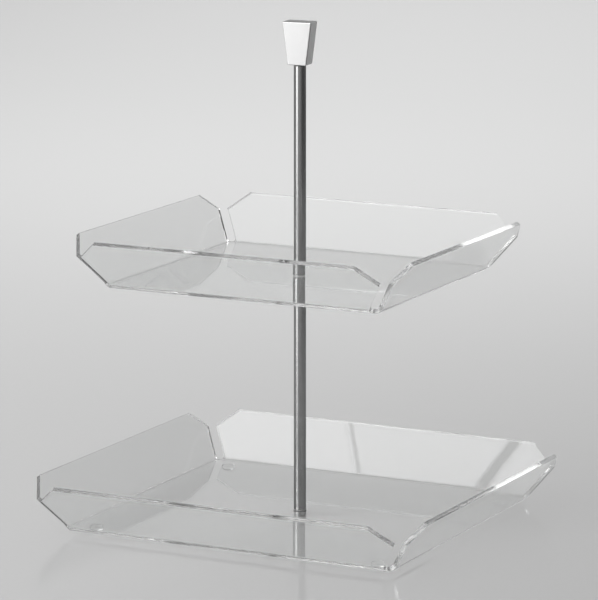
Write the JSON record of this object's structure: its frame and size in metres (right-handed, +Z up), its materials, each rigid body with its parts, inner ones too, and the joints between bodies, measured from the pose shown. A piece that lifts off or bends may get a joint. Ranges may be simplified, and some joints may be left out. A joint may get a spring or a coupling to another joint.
{
  "type": "tiered cake stand",
  "caption": "Tiered cake stand: clear bent-sheet trays with raised, slotted rims, screwed on a slim steel stem with a tapered block knob.",
  "frame": {"origin": "on the surface the stand rests on, under the axis of the stem", "axes": "+Z up along the stem, X and Y along the trays' sides, -Y towards the front"},
  "size_m": [0.28, 0.26, 0.329],
  "materials": {
    "clear_acrylic": "clear cast acrylic sheet, polished faces, laser-cut polished edges",
    "clear_silicone": "soft clear bumper",
    "plated_steel": "plated fastener steel",
    "clear_nylon": "thin clear washer",
    "stainless_steel": "satin polished stainless tube",
    "dark_nylon": "thin black washer",
    "satin_aluminium": "satin, slightly rounded edges"
  },
  "bodies": {
    "base": {"lower_tray": "clear_acrylic", "bumper_feet": "clear_silicone", "base_screw": "plated_steel", "base_screw_washer": "plated_steel"},
    "lower_ring": {"lower_tube_washer": "clear_nylon"},
    "lower_stem": {"lower_tube": "stainless_steel", "lower_tube_foot_plug": "plated_steel", "lower_tube_head_plug": "plated_steel", "joining_stud": "plated_steel", "upper_tray_under_washer": "clear_nylon"},
    "upper_tray": {"upper_tray": "clear_acrylic"},
    "upper_ring": {"upper_tray_top_washer": "clear_nylon"},
    "upper_stem": {"upper_tube": "stainless_steel", "upper_tube_foot_plug": "plated_steel", "upper_tube_head_plug": "plated_steel", "knob_stud": "plated_steel"},
    "knob_ring": {"knob_washer": "dark_nylon"},
    "knob": {"knob": "satin_aluminium"}
  },
  "joints": [
    {"name": "lower_stem_rise", "type": "slide", "parent": "base", "child": "lower_ring", "axis": [0, 0, 1], "range_m": [0, 0.0056]},
    {"name": "lower_stem_unscrew", "type": "hinge", "parent": "lower_ring", "child": "lower_stem", "pos_m": [0, 0, 0.0065], "axis": [0, 0, 1], "range_deg": [0, 2880]},
    {"name": "upper_tray_turn", "type": "hinge", "parent": "lower_stem", "child": "upper_tray", "pos_m": [0, 0, 0.161], "axis": [0, 0, 1], "continuous": true},
    {"name": "upper_stem_rise", "type": "slide", "parent": "lower_stem", "child": "upper_ring", "axis": [0, 0, 1], "range_m": [0, 0.0056]},
    {"name": "upper_stem_unscrew", "type": "hinge", "parent": "upper_ring", "child": "upper_stem", "pos_m": [0, 0, 0.1645], "axis": [0, 0, 1], "range_deg": [0, 2880]},
    {"name": "knob_rise", "type": "slide", "parent": "upper_stem", "child": "knob_ring", "axis": [0, 0, 1], "range_m": [0, 0.0056]},
    {"name": "knob_unscrew", "type": "hinge", "parent": "knob_ring", "child": "knob", "pos_m": [0, 0, 0.301], "axis": [0, 0, 1], "range_deg": [0, 2880]}
  ],
  "couplings": [
    {"joint": "lower_stem_unscrew", "follows": "lower_stem_rise", "rad_per_m": 8975.9},
    {"joint": "upper_stem_unscrew", "follows": "upper_stem_rise", "rad_per_m": 8975.9},
    {"joint": "knob_unscrew", "follows": "knob_rise", "rad_per_m": 8975.9}
  ]
}
